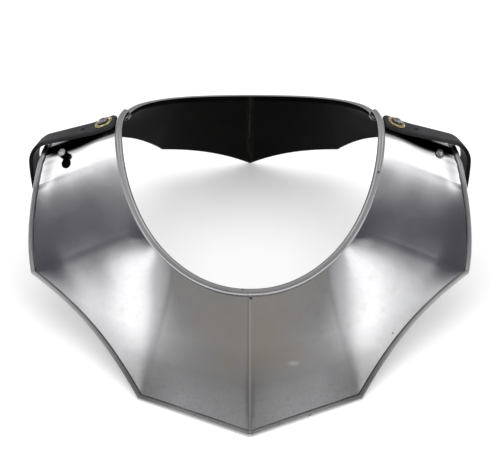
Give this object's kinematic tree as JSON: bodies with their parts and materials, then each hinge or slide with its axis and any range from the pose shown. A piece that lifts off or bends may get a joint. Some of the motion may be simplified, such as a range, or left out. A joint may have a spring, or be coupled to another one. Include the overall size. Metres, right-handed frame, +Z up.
{
  "type": "steel gorget",
  "caption": "Hinged steel neck and shoulder guard with a keeled breast half, a scalloped back half, rolled edges, rivets, a locking stud and leather pauldron straps",
  "frame": {"origin": "centre of the bounding box in plan, at the height of the lowest points, where the gorget rests on a surface", "axes": "+X across the shoulders to the right of the picture, +Y from the breast to the back, +Z up"},
  "size_m": [0.3214, 0.2902, 0.1254],
  "materials": {
    "polished_steel": "satin polished",
    "black_backed_steel": "satin outside, black inside",
    "black_leather": "finished black, smooth",
    "brass": "worn"
  },
  "bodies": {
    "root": {"front_plate": "polished_steel", "back_plate": "black_backed_steel", "pivot_rivet": "polished_steel", "locking_stud": "polished_steel", "strap_left": "black_leather", "strap_right": "black_leather", "washer_left": "brass", "washer_right": "brass", "strap_rivet_left": "polished_steel", "strap_rivet_right": "polished_steel"}
  },
  "joints": []
}
